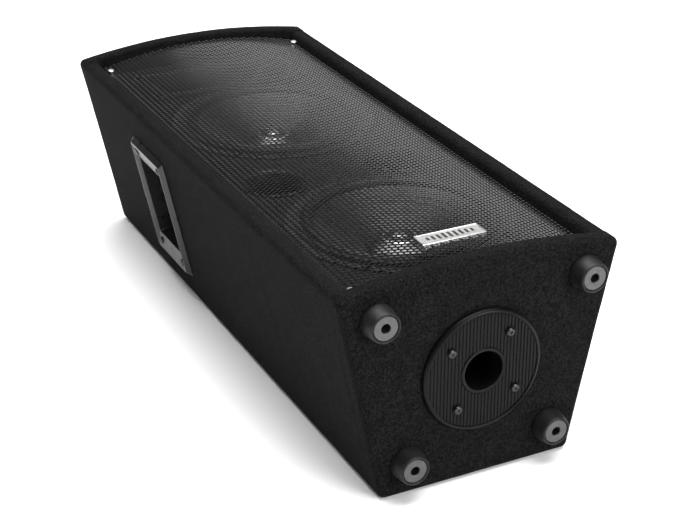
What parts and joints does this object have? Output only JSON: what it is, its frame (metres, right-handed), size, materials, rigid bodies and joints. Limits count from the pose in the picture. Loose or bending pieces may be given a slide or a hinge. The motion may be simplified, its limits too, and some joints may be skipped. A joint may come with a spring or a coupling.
{
  "type": "pa speaker cabinet",
  "caption": "Tapered carpeted PA loudspeaker cabinet with a curved perforated grille, woofers, horn, side handles, rubber feet and a pole socket.",
  "frame": {"origin": "on the surface the cabinet lies on, under the middle of its bounding box", "axes": "X across the cabinet, +Y towards its top end away from the feet, +Z out of the grille"},
  "size_m": [0.271, 0.6664, 0.213],
  "materials": {
    "wood": "bare birch plywood",
    "baffle": "plywood painted matt black",
    "felt": "black needle-felt carpet",
    "grille_paint": "gloss black powder coat",
    "screw_steel": "zinc plated",
    "washer_steel": "dull zinc",
    "badge_metal": "brushed",
    "horn_plastic": "satin black",
    "port_plastic": "satin black",
    "socket_plastic": "semi-gloss black",
    "handle_plastic": "semi-gloss black",
    "plate_plastic": "satin black",
    "jack_plastic": "black nylon",
    "foot_rubber": "black moulded rubber",
    "gasket_rubber": "foam rubber",
    "surround_rubber": "coated cloth",
    "spider_cloth": "impregnated cotton",
    "basket_paint": "black painted pressed steel",
    "plated_steel": "yellow zinc plated",
    "magnet_ferrite": "sintered ferrite",
    "cone_paper": "pressed paper pulp",
    "cap_aluminium": "satin",
    "copper_wire": "enamelled copper",
    "circuit_board": "glass-epoxy laminate",
    "capacitor_film": "wrapped film"
  },
  "bodies": {
    "cabinet": {"top_panel": "wood", "bottom_panel": "wood", "side_panel_left": "wood", "side_panel_right": "wood", "back_panel": "wood", "front_baffle": "baffle", "grille_battens": "baffle", "carpet_top": "felt", "carpet_bottom": "felt", "carpet_left": "felt", "carpet_right": "felt", "carpet_back": "felt", "grille": "grille_paint", "grille_screws": "screw_steel", "badge": "badge_metal", "woofer_screws": "screw_steel", "horn": "horn_plastic", "horn_driver": "magnet_ferrite", "horn_screws": "screw_steel", "port_tube_left": "port_plastic", "port_tube_right": "port_plastic", "pole_socket": "socket_plastic", "pole_socket_screws": "screw_steel", "foot_front_left": "foot_rubber", "foot_front_right": "foot_rubber", "foot_rear_left": "foot_rubber", "foot_rear_right": "foot_rubber", "foot_washers": "washer_steel", "foot_screws": "screw_steel", "handle_left": "handle_plastic", "handle_right": "handle_plastic", "handle_screws": "screw_steel", "connector_plate": "plate_plastic", "connector_screws": "screw_steel", "input_jack": "jack_plastic", "link_jack": "jack_plastic", "crossover_board": "circuit_board", "crossover_spacers": "jack_plastic", "crossover_coils": "copper_wire", "crossover_capacitors": "capacitor_film", "upper_basket": "basket_paint", "upper_gasket": "gasket_rubber", "upper_surround": "surround_rubber", "upper_spider": "spider_cloth", "upper_top_plate": "plated_steel", "upper_magnet": "magnet_ferrite", "upper_pole_piece": "plated_steel", "lower_basket": "basket_paint", "lower_gasket": "gasket_rubber", "lower_surround": "surround_rubber", "lower_spider": "spider_cloth", "lower_top_plate": "plated_steel", "lower_magnet": "magnet_ferrite", "lower_pole_piece": "plated_steel"},
    "upper_cone_assembly": {"upper_cone": "cone_paper", "upper_dust_cap": "cap_aluminium", "upper_voice_coil": "copper_wire"},
    "lower_cone_assembly": {"lower_cone": "cone_paper", "lower_dust_cap": "cap_aluminium", "lower_voice_coil": "copper_wire"}
  },
  "joints": [
    {"name": "upper_cone_travel", "type": "slide", "parent": "cabinet", "child": "upper_cone_assembly", "axis": [0, 0, 1], "range_m": [-0.004, 0.004], "stiffness_N_per_m": 3000, "deforming": ["upper_surround", "upper_spider"]},
    {"name": "lower_cone_travel", "type": "slide", "parent": "cabinet", "child": "lower_cone_assembly", "axis": [0, 0, 1], "range_m": [-0.004, 0.004], "stiffness_N_per_m": 3000, "deforming": ["lower_surround", "lower_spider"]}
  ]
}
